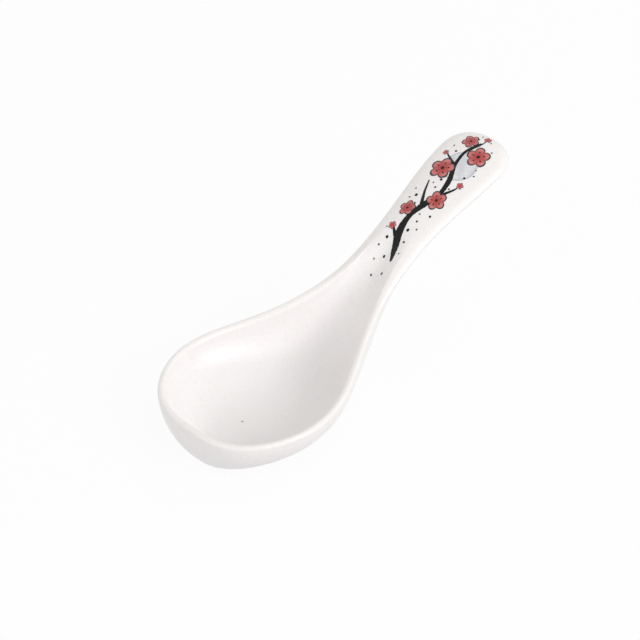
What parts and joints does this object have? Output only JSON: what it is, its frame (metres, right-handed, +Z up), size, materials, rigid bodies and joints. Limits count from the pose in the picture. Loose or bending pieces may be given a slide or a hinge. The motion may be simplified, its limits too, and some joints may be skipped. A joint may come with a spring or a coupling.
{
  "type": "soup spoon",
  "caption": "White glazed porcelain soup spoon with a deep egg-shaped bowl, a flared upswept handle and a fired-on blossom branch print.",
  "frame": {"origin": "centre of the flat foot under the bowl, on the surface that the spoon stands on", "axes": "+X from the bowl's tip to the handle's end, +Y to the spoon's left, +Z up out of the bowl"},
  "size_m": [0.1335, 0.055, 0.0508],
  "materials": {
    "porcelain": "fired, unglazed, ground flat at the foot",
    "glaze": "glossy",
    "grey_print": "glossy fired-on colour",
    "coral_print": "glossy fired-on colour",
    "black_print": "glossy fired-on colour"
  },
  "bodies": {
    "root": {"spoon_body": "porcelain", "glaze_coat": "glaze", "moon_print": "grey_print", "blossom_print": "coral_print", "flower_heart_print": "black_print", "branch_print": "black_print", "speckle_print": "black_print"}
  },
  "joints": []
}
